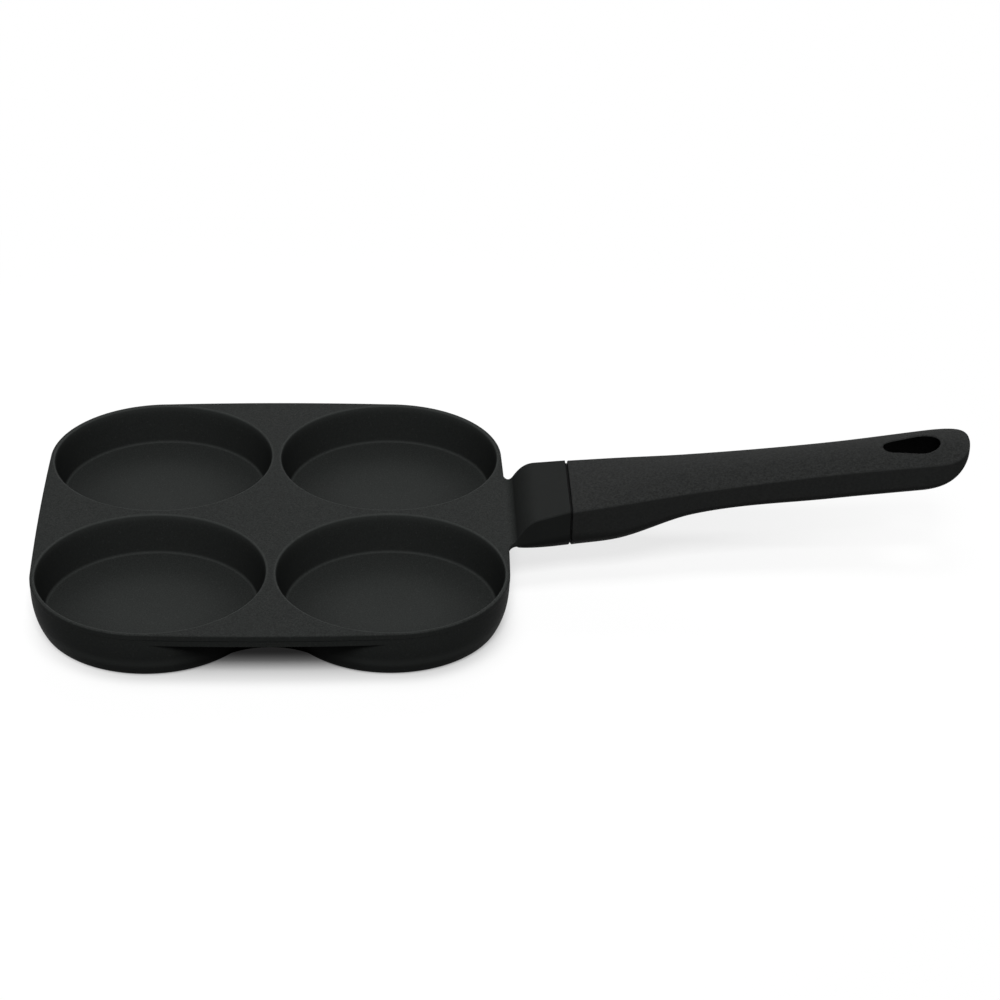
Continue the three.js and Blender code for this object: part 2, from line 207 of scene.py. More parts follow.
coatFinish = {  # speckled non-stick coating on the casting
    "dark": grey(0.0103, 0.04), "light": grey(0.0274, 0.04), "fleck": grey(0.035, 0.02), "fleckShare": 0.5,
    "grainSize": 0.55, "grainNoise": (2.5, 0.6), "grainEdges": (0.3, 0.7), "grainHeight": 0.02,
    "fleckSize": 0.9, "fleckNoise": (1.0, 0.5), "fleckEdges": (0.66, 0.74),
    "uprightGrain": 0.4, "levelEdges": (0.4, 0.85), "roughness": 0.56, "roughSpread": 0.1, "specular": 0.016,
    # painted highlights, lighter: on the rims and the creases round the floors; and painted light on the
    # floors, by distance from the cup's axis
    "edge": grey(0.042, 0.04), "rimShare": 0.6, "rimWidth": 0.9, "creaseShare": 0.35, "creaseWidth": 0.8,
    "paintedFloorLight": (10.0, 44.0, 0.2, 0.0),
    # painted shade, darker: between the cups under the lip, a painted contact shadow round the feet, and on
    # the outer part of the floors
    "shade": grey(0.001), "hollowShare": 0.9, "hollowEdges": (38.0, 22.0), "lipEdges": (0.2, -0.4),
    "webEdges": (0.1, 0.6), "wallEdges": (-0.15, 0.15), "footShare": 0.8, "footEdges": (1.8, 0.5),
    "baseEdges": (-1.0, 0.0), "floorEdges": (-0.5, 0.5), "mouthEdges": (0.0, -1.0),
    "innerShade": (14.0, 43.0, 0.0, 0.16),
}
guardFinish = {  # smooth satin metal under a thin dark lacquer
    "dark": grey(0.0143, 0.035), "light": grey(0.0158, 0.035),
    "cloudSize": 9.0, "cloudNoise": (3.0, 0.5), "cloudEdges": (0.3, 0.7),
    "brushSize": 0.4, "brushNoise": (1.0, 0.5), "brushHeight": 0.002,
    "roughness": 0.58, "roughSpread": 0.05, "specular": 0.01,
}
gripFinish = {  # moulded phenolic with a fine spark-eroded grain
    "dark": grey(0.014, 0.02), "light": grey(0.0264, 0.02),
    "grainSize": 0.75, "grainNoise": (2.5, 0.6), "grainEdges": (0.38, 0.62), "grainHeight": 0.035,
    "pitSize": 1.3, "pitNoise": (1.0, 0.5), "grainShare": 0.7, "pitShare": 0.3,
    "uprightGrain": 0.4, "levelEdges": (0.4, 0.85), "roughness": 0.6, "roughSpread": 0.1, "specular": 0.016,
}
holeShadeColours = {  # painted shade: a near-black colour on the wall of the hang hole, where shade falls deep inside it
    "dark": grey(0.0006), "light": grey(0.0015), "roughness": 0.6, "specular": 0.02,
    "grainSize": 1.5, "grainNoise": (2.0, 0.5), "grainEdges": (0.3, 0.7),
}
gasketFinish = {
    "dark": grey(0.002), "light": grey(0.005), "roughness": 0.85, "specular": 0.1,
    "grainSize": 0.3, "grainNoise": (2.0, 0.5), "grainEdges": (0.3, 0.7),
}
platedFinish = {
    "dark": (0.42, 0.43, 0.45, 1), "light": (0.62, 0.63, 0.64, 1), "roughness": 0.3, "roughSpread": 0.15,
    "spotSize": 0.8, "spotNoise": (3.0, 0.6), "spotEdges": (0.3, 0.7),
}
springFinish = {
    "dark": (0.13, 0.13, 0.135, 1), "light": (0.22, 0.22, 0.225, 1), "roughness": 0.4, "roughSpread": 0.15,
    "spotSize": 0.6, "spotNoise": (3.0, 0.6), "spotEdges": (0.3, 0.7),
}


def newMaterial(name):
    material = bpy.data.materials.new(name)
    material.use_nodes = True
    return material, Graph(material.node_tree)


def objectPlace(graph):
    return graph.node("ShaderNodeTexCoord", {}, {}, "Object")


def part(graph, vector, axis):
    return graph.node("ShaderNodeSeparateXYZ", {}, {0: vector}, axis)


def noise(graph, values, name):
    detail, rough = values[name + "Noise"]
    sockets = {"Vector": objectPlace(graph), "Scale": 1 / (values[name + "Size"] * mm), "Detail": detail}
    return graph.node("ShaderNodeTexNoise", {"noise_dimensions": "3D"}, {**sockets, "Roughness": rough})


def band(graph, value, edges, at=0.0):  # 0 at the first edge and 1 at the second, both counted from a place
    sockets = {"Value": value, "From Min": at + edges[0], "From Max": at + edges[1]}
    return graph.node("ShaderNodeMapRange", {}, sockets)


def ramp(graph, value, steps):  # a smooth run from first to last
    low, high, first, last = steps
    sockets = {"Value": value, "From Min": low, "From Max": high, "To Min": first, "To Max": last}
    return graph.node("ShaderNodeMapRange", {"interpolation_type": "SMOOTHSTEP"}, sockets)


def bump(graph, height, distance):
    return graph.node("ShaderNodeBump", {}, {"Height": height, "Distance": distance * mm, "Strength": 1.0})


def uneven(values, pattern):  # roughness that follows a pattern
    return values["roughness"] + (pattern - 0.5) * (2 * values["roughSpread"])


def surface(graph, sockets):
    shader = graph.node("ShaderNodeBsdfPrincipled", {}, sockets)
    graph.node("ShaderNodeOutputMaterial", {}, {"Surface": shader})


# dark to light by the grain, in full on a level surface and less on upright walls; the stronger contrast on
# level surfaces is painted glint, standing in for the lamps' light on the grain
def grainTone(graph, grain, values):
    upright = values["uprightGrain"]
    rise = part(graph, graph.node("ShaderNodeTexCoord", {}, {}, "Normal"), "Z")
    strength = upright + (1 - upright) * band(graph, rise, values["levelEdges"])
    share = 0.5 + (band(graph, grain, values["grainEdges"]) - 0.5) * strength
    return graph.blend(share, values["dark"], values["light"])


# the two distances along X and Y from the nearest cup's centre lines, in metres
def cupOffsets(graph, lean=(0.0, 0.0)):
    place = objectPlace(graph)
    centres = {"X": panCentre * mm + lean[0], "Y": lean[1]}
    aside = [(part(graph, place, axis) - middle).call("ABSOLUTE") for axis, middle in centres.items()]
    return [offset - cupPitch / 2 * mm for offset in aside]


def cupRadius(graph):  # distance in millimetres from the axis of the nearest cup
    x, y = cupOffsets(graph)
    return (x * x + y * y).call("SQRT") * (1 / mm)


def coatHeight(graph):  # height in millimetres above the surface that the pan stands on
    return part(graph, objectPlace(graph), "Z") * (1 / mm)


def aboveBase(graph, values):  # the cups' bases keep the plain coating on their undersides
    return band(graph, coatHeight(graph), values["floorEdges"], cup["floor"] / 2)


# painted light: highlights on the rims and creases, and lighter middles of the floors
def paintedLightShare(graph, values):
    radius = cupRadius(graph)
    rimRadius = cup["mouthRadius"] + cup["mouthRound"] / 2
    creaseRadius = cup["mouthRadius"] - cup["draft"] - cup["floorFillet"] / 2
    total = ramp(graph, radius, values["paintedFloorLight"])
    for name, at in (("rim", rimRadius), ("crease", creaseRadius)):
        ring = ramp(graph, (radius - at).call("ABSOLUTE"), (0.0, values[name + "Width"], 1.0, 0.0))
        total = total + ring * values[name + "Share"]
    return total * aboveBase(graph, values)


# painted shade: under the lip near the pan's two middle lines, a painted contact shadow at the feet, and
# shade on the outer part of the floors
def shadeShare(graph, values):
    radius, height = cupRadius(graph), coatHeight(graph)
    x, y = cupOffsets(graph)
    across = x.call("MINIMUM", y) * (1 / mm) + cupPitch / 2
    lean = cup["draft"] / cup["depth"]
    wallMiddle = cup["mouthRadius"] - cup["draft"] + cup["wall"] / 2 - cup["floor"] * lean
    outside = band(graph, radius - height * lean, values["wallEdges"], wallMiddle)
    underLip = band(graph, height, values["lipEdges"], deckTop - tray["lipDepth"])
    overWeb = band(graph, height, values["webEdges"], tray["webFootGap"])
    hollow = band(graph, across, values["hollowEdges"]) * outside * underLip * overWeb * values["hollowShare"]
    roundBase = band(graph, radius, values["baseEdges"], footRadius - cup["footRound"])
    foot = band(graph, height, values["footEdges"]) * roundBase * values["footShare"]
    inMouth = (1 - outside) * band(graph, radius, values["mouthEdges"], cup["mouthRadius"])
    inner = ramp(graph, radius, values["innerShade"]) * inMouth * aboveBase(graph, values)
    return hollow.call("MAXIMUM", foot) + inner


def coatMaterial(values):
    material, graph = newMaterial("speckled_coat")
    grain = noise(graph, values, "grain")
    fleck = band(graph, noise(graph, values, "fleck"), values["fleckEdges"]) * values["fleckShare"]
    speckled = graph.blend(fleck, grainTone(graph, grain, values), values["fleck"])
    lighter = graph.blend(paintedLightShare(graph, values), speckled, values["edge"])
    surface(graph, {
        "Base Color": graph.blend(shadeShare(graph, values), lighter, values["shade"]),
        "Roughness": uneven(values, grain),
        "Specular IOR Level": values["specular"],
        "Normal": bump(graph, grain, values["grainHeight"]),
    })
    return material


def guardMaterial(values):
    material, graph = newMaterial("satin_guard")
    cloud = noise(graph, values, "cloud")
    surface(graph, {
        "Base Color": graph.blend(band(graph, cloud, values["cloudEdges"]), values["dark"], values["light"]),
        "Roughness": uneven(values, cloud),
        "Specular IOR Level": values["specular"],
        "Normal": bump(graph, noise(graph, values, "brush"), values["brushHeight"]),
    })
    return material


def gripMaterial(values):
    material, graph = newMaterial("grained_phenolic")
    grain = noise(graph, values, "grain")
    pitted = grain * values["grainShare"] + noise(graph, values, "pit") * values["pitShare"]
    surface(graph, {
        "Base Color": grainTone(graph, pitted, values),
        "Roughness": uneven(values, grain),
        "Specular IOR Level": values["specular"],
        "Normal": bump(graph, pitted, values["grainHeight"]),
    })
    return material


def blackMaterial(name, values):
    material, graph = newMaterial(name)
    grain = noise(graph, values, "grain")
    surface(graph, {
        "Base Color": graph.blend(band(graph, grain, values["grainEdges"]), values["dark"], values["light"]),
        "Roughness": values["roughness"],
        "Specular IOR Level": values["specular"],
    })
    return material


def steelMaterial(name, values):
    material, graph = newMaterial(name)
    spot = noise(graph, values, "spot")
    surface(graph, {
        "Base Color": graph.blend(band(graph, spot, values["spotEdges"]), values["dark"], values["light"]),
        "Roughness": uneven(values, spot),
        "Metallic": 1.0,
    })
    return material


coat = coatMaterial(coatFinish)
satin = guardMaterial(guardFinish)
phenolic = gripMaterial(gripFinish)
rubber = blackMaterial("black_gasket", gasketFinish)
# painted shade for the wall inside the hang hole
holeShadeMaterial = blackMaterial("hole_wall_painted_shade", holeShadeColours)
plated = steelMaterial("plated_steel", platedFinish)
springSteel = steelMaterial("spring_steel", springFinish)
print("finishes made")

# meshes

repeatGap = 1e-6  # outline points closer than this are one
cleanUp = {"merge": 2e-6, "sliver": 1e-6, "sharpAngle": 38.0, "areaWeight": 60}  # lengths in metres


def makeObject(name, points, faces):
    mesh = bpy.data.meshes.new(name)
    mesh.from_pydata([Vector(p) * mm for p in points], [], faces)
    obj = bpy.data.objects.new(name, mesh)
    scene.collection.objects.link(obj)
    work = bmesh.new()
    work.from_mesh(mesh)
    bmesh.ops.recalc_face_normals(work, faces=work.faces)
    work.to_mesh(mesh)
    work.free()
    return obj


def arc(x, y, radius, start, end, steps):
    angles = [math.radians(start + (end - start) * i / steps) for i in range(steps + 1)]
    return [(x + radius * math.cos(a), y + radius * math.sin(a)) for a in angles]


def fullTurn(steps):
    return [2 * math.pi * i / steps for i in range(steps)]


def skin(rings, closed):  # faces between rings of equal length; a closed run joins the last ring to the first
    around = len(rings[0])
    pairs = [(i, i + 1) for i in range(len(rings) - 1)] + ([(len(rings) - 1, 0)] if closed else [])
    faces = [
        (a * around + j, a * around + (j + 1) % around, b * around + (j + 1) % around, b * around + j)
        for a, b in pairs for j in range(around)
    ]
    if not closed:
        last = (len(rings) - 1) * around
        faces += [tuple(range(around)), tuple(range(last, last + around))]
    return [p for ring in rings for p in ring], faces


def lofted(name, rings, closed=False):
    return makeObject(name, *skin(rings, closed))


# a (radius, height) profile turned about the upright axis; one that starts on the axis ends on it too
def turned(name, profile, steps, x=0.0):
    onAxis = profile[0][0] == 0
    inner = profile[1:-1] if onAxis else profile
    rings = [[(x + r * math.cos(a), r * math.sin(a), z) for a in fullTurn(steps)] for r, z in inner]
    if not onAxis:
        return lofted(name, rings, True)
    points, faces = skin(rings, True)
    faces = faces[:-steps]
    foot, head, last = len(points), len(points) + 1, (len(inner) - 1) * steps
    points += [(x, 0, profile[0][1]), (x, 0, profile[-1][1])]
    for j in range(steps):
        k = (j + 1) % steps
        faces += [(foot, k, j), (head, last + j, last + k)]
    return makeObject(name, points, faces)


def boreCutter(name, radius, low, high):  # a plain round cutter on the screw's axis
    return turned(name, [(0, low), (radius, low), (radius, high), (0, high)], screw["steps"], screwX)


def outward(outline):  # unit normals of a closed anticlockwise outline
    count = len(outline)
    normals = []
    for i in range(count):
        (ax, ay), (bx, by) = outline[i - 1], outline[(i + 1) % count]
        length = math.hypot(bx - ax, by - ay)
        normals.append(((by - ay) / length, (ax - bx) / length))
    return normals


def dropRepeats(outline):
    return [p for i, p in enumerate(outline) if math.dist(p, outline[i - 1]) > repeatGap]


# a plate or a rim: rings of an outline, each set in by a distance at a height
def outlineRings(outline, steps):
    edge = list(zip(outline, outward(outline)))
    return [[(x - nx * inset, y - ny * inset, z) for (x, y), (nx, ny) in edge] for inset, z in steps]


def roundedSteps(low, high, r, steps):  # (inset, height) up the edge of a plate with round corners
    bottom = [(r - dx, low + r + dz) for dx, dz in arc(0, 0, r, -90, 0, steps)]
    top = [(r - dx, high - r + dz) for dx, dz in arc(0, 0, r, 0, 90, steps)]
    return bottom + top


def extrudedAcross(name, outline, width):  # an (x, z) outline given a width along Y
    return lofted(name, [[(x, y, z) for x, z in outline] for y in (-width / 2, width / 2)])


def bake(obj):  # the result of the modifiers as a plain mesh
    graph = bpy.context.evaluated_depsgraph_get()
    result = obj.evaluated_get(graph)
    obj.data = bpy.data.meshes.new_from_object(result, preserve_all_data_layers=True, depsgraph=graph)
    obj.modifiers.clear()


def carve(obj, tools):
    for tool in tools:
        cut = obj.modifiers.new("cut", "BOOLEAN")
        cut.object, cut.operation, cut.solver = tool, "DIFFERENCE", "MANIFOLD"
    bake(obj)
    discard(tools)


def discard(objects):
    for obj in objects:
        bpy.data.objects.remove(obj)


def finishPiece(obj, node, material):
    mesh = obj.data
    mesh.transform(Matrix.Translation((panCentre * mm, 0, 0)))
    work = bmesh.new()
    work.from_mesh(mesh)
    bmesh.ops.remove_doubles(work, verts=work.verts, dist=cleanUp["merge"])
    bmesh.ops.dissolve_degenerate(work, edges=work.edges, dist=cleanUp["sliver"])
    work.to_mesh(mesh)
    work.free()
    mesh.materials.clear()
    mesh.materials.append(material)
    mesh.shade_smooth()
    mesh.set_sharp_from_angle(angle=math.radians(cleanUp["sharpAngle"]))
    weigh = obj.modifiers.new("weigh", "WEIGHTED_NORMAL")
    weigh.mode, weigh.weight, weigh.keep_sharp = "FACE_AREA", cleanUp["areaWeight"], True
    bake(obj)
    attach(obj, "root")
    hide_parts(node)
    print(obj.name, len(obj.data.polygons), "faces")


# handle sections; an edge's round takes at most a share of the side and of the half width

section = {
    "bellySteps": 48, "sideSteps": 5, "roundSteps": 8, "crownSteps": 28,
    "roundOfSide": 0.6, "roundOfWidth": 0.3,
}


def handleRing(x, values, inset=0.0):
    halfWidth, edgeZ, crown, side, belly, edgeRound = values
    spring = edgeZ - side
    halfWidth, edgeZ, side, belly = halfWidth - inset, edgeZ - inset, side - inset, belly - inset
    r = min(edgeRound, side * section["roundOfSide"], halfWidth * section["roundOfWidth"])
    flat = halfWidth - r
    under = [math.pi * (1 + i / section["bellySteps"]) for i in range(section["bellySteps"] + 1)]
    points = [(halfWidth * math.cos(a), spring + belly * math.sin(a)) for a in under]
    rise = [spring + (side - r) * i / section["sideSteps"] for i in range(1, section["sideSteps"])]
    points += [(halfWidth, z) for z in rise]
    points += arc(flat, edgeZ - r, r, 0, 90, section["roundSteps"])
    across = [flat * (1 - 2 * i / section["crownSteps"]) for i in range(1, section["crownSteps"])]
    points += [(y, edgeZ + crown * (1 - (y / flat) ** 2)) for y in across]
    points += arc(-flat, edgeZ - r, r, 90, 180, section["roundSteps"])
    points += [(-halfWidth, z) for z in reversed(rise)]
    return [(x, y, z) for y, z in points]


def quarterRise(along, length):
    return math.sqrt(1 - (1 - min(1, along / length)) ** 2)


def guardAt(along):
    u = along / guard["length"]
    seamHalf, seamSide, seamBelly, _ = grip["places"][0][1]
    shoulder = 1 - (1 - min(1, along / shoulderLength)) ** guard["shoulderPower"]
    top = tongueRise + shoulderRise * shoulder + guardSlopeRise * u
    rootDepth = guard["rootSide"] + guard["rootBelly"]
    seamDepth = seamSide + seamBelly - grip["seamTop"]
    bottom = -rootDepth - (seamDepth - rootDepth) * quarterRise(along, guard["bellyLength"])
    spring = -guard["rootSide"] + (grip["seamTop"] - seamSide + guard["rootSide"]) * u
    halfWidth = guard["rootHalfWidth"] + (seamHalf - guard["rootHalfWidth"]) * u
    return halfWidth, deckTop + top, 0.0, top - spring, spring - bottom, guard["edgeRound"]


def smoothThrough(places, t):  # a cubic through the places, straight at both ends
    at, values = zip(*places)
    last = len(at) - 1
    i = min(max(next((k for k, p in enumerate(at) if p > t), last), 1), last)
    span = at[i] - at[i - 1]
    before, lead = values[i], -0.5
    after, trail = values[i - 1], -0.5
    if i > 1:
        before, lead = values[i - 2], span / 2 / (at[i - 1] - at[i - 2])
    if i < last:
        after, trail = values[i + 1], span / 2 / (at[i + 1] - at[i])
    p = (t - at[i - 1]) / span
    shares = (
        lead * (-p ** 3 + 2 * p ** 2 - p),
        (1 + lead) * p ** 3 - (1.5 + 2 * lead) * p ** 2 + (lead - 0.5) * p + 1,
        -(1 + trail) * p ** 3 + (1.5 + trail) * p ** 2 + 0.5 * p,
        trail * (p ** 3 - p ** 2),
    )
    columns = zip(before, values[i - 1], values[i], after)
    return [sum(s * v for s, v in zip(shares, column)) for column in columns]


def gripAt(along):
    bodyLength = grip["length"] - grip["tipPlanLength"]
    halfWidth, side, belly, crown = smoothThrough(grip["places"], min(along, bodyLength))
    inTip = max(0, along - bodyLength) / grip["tipPlanLength"]
    inRise = max(0, along - grip["length"] + grip["tipRiseLength"]) / grip["tipRiseLength"]
    plan = (1 - inTip ** grip["tipPlanPower"]) ** (1 / grip["tipPlanPower"])
    depth = math.sqrt(1 - inRise ** 2)
    edgeZ = deckTop + grip["seamTop"] + grip["slope"] * along + crown * (1 - plan ** 2)
    return halfWidth * plan, edgeZ, crown * plan ** 2, side * depth, belly * depth, grip["edgeRound"]


def gripTop(x, y):
    halfWidth, edgeZ, crown, side, belly, edgeRound = gripAt(x - gripStart)
    return edgeZ + crown * (1 - (y / (halfWidth - edgeRound)) ** 2)


def gripBottom(x, y):
    halfWidth, edgeZ, crown, side, belly, edgeRound = gripAt(x - gripStart)
    return edgeZ - side - belly * math.sqrt(1 - (y / halfWidth) ** 2)


def lugOutline(spare):
    top, bottom = lugTop + spare, lugBottom - spare
    rootTop = deckTop - lug["rootStep"] + spare
    rootBottom = deckTop - lug["rootStep"] - lug["rootThickness"] - spare
    bend, end = rootX + lug["riseLength"], seamX + lug["reach"] + spare
    return [
        (panHalf, rootBottom), (rootX, rootBottom), (bend + spare, bottom), (end, bottom),
        (end, top), (bend - spare, top), (rootX, rootTop), (panHalf, rootTop),
    ]


def lugBlock(name, spare):
    return extrudedAcross(name, lugOutline(spare), lug["width"] + 2 * spare)


# casting


def quarterTurned(points, turns):
    for _ in range(turns):
        points = [(-y, x) for x, y in points]
    return points


# a rounded square with slightly bowed sides
def deckOutline():
    middle, n = panHalf - cornerRadius, tray["cornerSteps"]
    shares = [2 * i / n - 1 for i in range(n + 1)]
    corner = arc(middle, middle, cornerRadius, 0, 90, n)
    outline = []
    for turns in range(4):
        bow = tray["frontBow"] if turns % 2 else tray["endBow"]
        side = [(panHalf + bow * (1 - s * s), middle * s) for s in shares]
        outline += quarterTurned(side + corner, turns)
    return dropRepeats(outline)


# a cup's outside: upright below the deck, turning in towards a rounded foot
def cupSide(z):
    turnIn = cup["turnIn"] * (1 - z / deckTop) ** cup["turnPower"]
    aboveFoot = max(0, 1 - z / cup["footRound"])
    return cornerRadius - cup["inset"] - turnIn - cup["footRound"] * (1 - math.sqrt(1 - aboveFoot ** 2))


def cupShell():
    r, top, n = cup["footRound"], deckTop - tray["deck"] / 2, cup["roundSteps"]
    heights = [r * (1 - math.cos(math.pi / 2 * i / n)) for i in range(n)]
    heights += [r + (top - r) * i / cup["wallSteps"] for i in range(cup["wallSteps"] + 1)]
    return turned("cupShell", [(0, 0)] + [(cupSide(z), z) for z in heights] + [(0, top)], cup["steps"])


def cupHollow():
    fillet, lip = cup["floorFillet"], cup["mouthRound"]
    floorRadius, mouth, n = cup["mouthRadius"] - cup["draft"], cup["mouthRadius"] + lip, cup["roundSteps"]
    above = deckTop + gap["cutPast"]
    profile = [(0, cup["floor"])] + arc(floorRadius - fillet, cup["floor"] + fillet, fillet, -90, 0, n)
    profile += arc(mouth, deckTop - lip, lip, 180, 90, n) + [(mouth, above), (0, above)]
    return turned("cupHollow", profile, cup["steps"])


# the web between two neighbouring cups, with a hollow round on both sides
def cupWeb():
    half, r, n = cupPitch / 2, tray["webFillet"], tray["webSteps"]
    reach = math.sqrt((tray["webFootRadius"] + r) ** 2 - half ** 2)
    lean = math.degrees(math.atan2(reach, half))
    outline = arc(0, reach, r, -lean, lean - 180, n) + arc(0, -reach, r, 180 - lean, lean, n)
    return lofted("cupWeb", outlineRings(outline, [(0, tray["webFootGap"]), (0, deckTop - tray["deck"] / 2)]))


def trayLip():
    low, high, r = deckTop - tray["lipDepth"], deckTop - tray["deck"] / 2, tray["lipRound"]
    outer, inner, n = tray["lipInset"], tray["lipWidth"], tray["roundSteps"]
    profile = [(outer + r - dx, low + r + dz) for dx, dz in arc(0, 0, r, 0, -90, n)]
    profile += [(inner - r + dx, low + r + dz) for dx, dz in arc(0, 0, r, -90, 0, n)]
    return lofted("trayLip", outlineRings(deckOutline(), [(outer, high)] + profile + [(inner, high)]), True)


# the tongue sweeps up from a boss under the deck's edge to a hairline before the guard, and narrows to it
def sweptTongue():
    last, n, r = math.asin(gap["hairline"] / sweepLength), tray["tongueSteps"], tray["edgeRound"]
    stations = [(rootX - tray["bossLength"], -r, math.pi / 2)]
    for i in range(n + 1):
        angle = math.pi / 2 + (last - math.pi / 2) * i / n
        run = sweepLength * (1 - math.sin(angle))
        stations.append((panHalf + run, sweepRadius - math.sqrt(sweepRadius ** 2 - run ** 2), angle))
    rings = []
    for x, rise, angle in stations:
        halfWidth = guard["rootHalfWidth"] + tray["tongueFlare"] * (1 - math.cos(angle))
        values = (halfWidth, deckTop + rise, 0.0, guard["rootSide"] + rise, guard["rootBelly"], r)
        rings.append(handleRing(x, values))
    return lofted("sweptTongue", rings)


# four cups and four webs on a square grid, joined to the tray, then the hollows cut out of it
def castingTree():
    tree = bpy.data.node_groups.new("castTray", "GeometryNodeTree")
    graph = Graph(tree)
    tree.interface.new_socket("Deck", in_out="INPUT", socket_type="NodeSocketGeometry")
    for name in ("Lip", "Tongue", "Lug", "Cup shell", "Cup hollow", "Web", "Bush hole"):
        tree.interface.new_socket(name, in_out="INPUT", socket_type="NodeSocketObject")
    tree.interface.new_socket("Pitch", in_out="INPUT", socket_type="NodeSocketFloat")
    tree.interface.new_socket("Finish", in_out="INPUT", socket_type="NodeSocketMaterial")
    tree.interface.new_socket("Casting", in_out="OUTPUT", socket_type="NodeSocketGeometry")
    entry = tree.nodes.new("NodeGroupInput")

    def given(name):
        return Wire(graph, entry.outputs[name])

    def shape(name):
        return graph.node("GeometryNodeObjectInfo", {}, {"Object": given(name)}, "Geometry")

    # left as instances, because webs that meet have to join as separate solids
    def placed(points, name, turn=(0.0, 0.0, 0.0)):
        sockets = {"Points": points, "Instance": shape(name), "Rotation": turn}
        return graph.node("GeometryNodeInstanceOnPoints", {}, sockets)

    def join(operation, sockets):
        return graph.node("GeometryNodeMeshBoolean", {"operation": operation, "solver": "MANIFOLD"}, sockets)

    pitch = given("Pitch")
    grid = {"Size X": pitch, "Size Y": pitch, "Vertices X": 2, "Vertices Y": 2}
    corners = graph.node("GeometryNodeMeshGrid", {}, grid)
    sides = graph.node("GeometryNodeMeshCircle", {}, {"Vertices": 4, "Radius": pitch * 0.5})
    quarter = graph.node("GeometryNodeInputIndex") * (math.pi / 2) + math.pi / 2
    spin = graph.node("ShaderNodeCombineXYZ", {}, {"Z": quarter})
    solids = [given("Deck"), shape("Lip"), shape("Tongue"), shape("Lug")]
    solids += [placed(corners, "Cup shell"), placed(sides, "Web", spin)]
    whole = join("UNION", {"Mesh 2": solids})
    cut = join("DIFFERENCE", {"Mesh 1": whole, "Mesh 2": [placed(corners, "Cup hollow"), shape("Bush hole")]})
    finished = graph.node("GeometryNodeSetMaterial", {}, {"Geometry": cut, "Material": given("Finish")})
    leave = tree.nodes.new("NodeGroupOutput")
    tree.links.new(finished.socket, leave.inputs["Casting"])
    return tree


def setInputs(modifier, values):
    for item in modifier.node_group.interface.items_tree:
        if item.name in values:
            modifier[item.identifier] = values[item.name]


def makeCasting():
    steps = roundedSteps(deckTop - tray["deck"], deckTop, tray["edgeRound"], tray["roundSteps"])
    casting = lofted("casting", outlineRings(deckOutline(), steps))
    low, high = lugBottom - gap["cutPast"], lugTop + gap["cutPast"]
    tools = {
        "Lip": trayLip(), "Tongue": sweptTongue(), "Lug": lugBlock("lug", 0), "Cup shell": cupShell(),
        "Cup hollow": cupHollow(), "Web": cupWeb(),
        "Bush hole": boreCutter("bushHole", bush["radius"] + gap["touching"], low, high),
    }
    modifier = casting.modifiers.new("cast", "NODES")
    modifier.node_group = castingTree()
    setInputs(modifier, {**tools, "Pitch": cupPitch * mm, "Finish": coat})
    bake(casting)
    discard(tools.values())
    finishPiece(casting, "pan_casting", coat)


makeCasting()

# guard and gasket


def makeGuard():
    n, r = guard["steps"], guard["endRound"]
    alongs = [guard["length"] * (1 - math.cos(i / n * math.pi / 2)) for i in range(n + 1)]
    rings = [handleRing(guardStart + a, guardAt(a)) for a in alongs if a < guard["length"] - r]
    ends = arc(0, 0, r, 0, 90, guard["endSteps"])
    rings += [handleRing(seamX - r + dz, guardAt(guard["length"] - r + dz), r - dx) for dx, dz in ends]
    body = lofted("guard", rings)
    inside = [a for a in alongs if a > guard["wall"]]
    hollow = [handleRing(guardStart + a, guardAt(a), guard["wall"]) for a in inside]
    hollow.append(handleRing(seamX + gap["cutPast"], guardAt(guard["length"]), guard["wall"]))
    carve(body, [lofted("guardHollow", hollow), lugBlock("lugRoom", gap["touching"])])
    finishPiece(body, "heat_guard", satin)


def makeGasket():
    face = guardAt(guard["length"])
    thickness, inset, edge = gasket["thickness"], gasket["inset"], gasket["chamfer"]
    steps = ((0, inset + edge), (edge, inset), (thickness - edge, inset), (thickness, inset + edge))
    sheet = lofted("gasket", [handleRing(gasketStart + along, face, inwards) for along, inwards in steps])
    carve(sheet, [lugBlock("lugRoom", gap["touching"])])
    finishPiece(sheet, "heat_gasket", rubber)


makeGuard()
makeGasket()

# grip

hangHole = {
    "fromTip": 19.2, "length": 23.2, "wideRadius": 7.4, "narrowRadius": 4.7, "mouthRound": 0.7,
    "steps": 48, "sideSteps": 12, "wallSlope": 0.35, "spare": 0.1,
}
flare = {"turn": 70.0, "steps": 6, "run": 1.0}


def teardrop():
    wideX = tipX - hangHole["fromTip"]
    wide, narrow, n = hangHole["wideRadius"], hangHole["narrowRadius"], hangHole["steps"]
    narrowX = wideX + wide - hangHole["length"] + narrow
    lean = math.degrees(math.asin((wide - narrow) / (wideX - narrowX)))
    wideEnd = arc(wideX, 0, wide, -90 - lean, 90 + lean, n)
    narrowEnd = arc(narrowX, 0, narrow, 90 + lean, 270 - lean, n)
    (ax, ay), (bx, by) = wideEnd[-1], narrowEnd[0]
    shares = [i / hangHole["sideSteps"] for i in range(1, hangHole["sideSteps"])]
    between = [(ax + (bx - ax) * s, ay + (by - ay) * s) for s in shares]
    return wideEnd + between + narrowEnd + [(x, -y) for x, y in reversed(between)]


# a cutter whose mouth rolls out onto a surface: (distance out of the outline, height above the surface) steps
def mouthSteps(radius):
    turn = [math.radians(flare["turn"]) * i / flare["steps"] for i in range(flare["steps"] + 1)]
    steps = [(radius * (1 - math.cos(a)), radius * (math.sin(a) - 1)) for a in turn]
    out, rise = steps[-1]
    reach = radius * flare["run"]
    return steps + [(out + reach * math.sin(turn[-1]), rise + reach * math.cos(turn[-1]))]


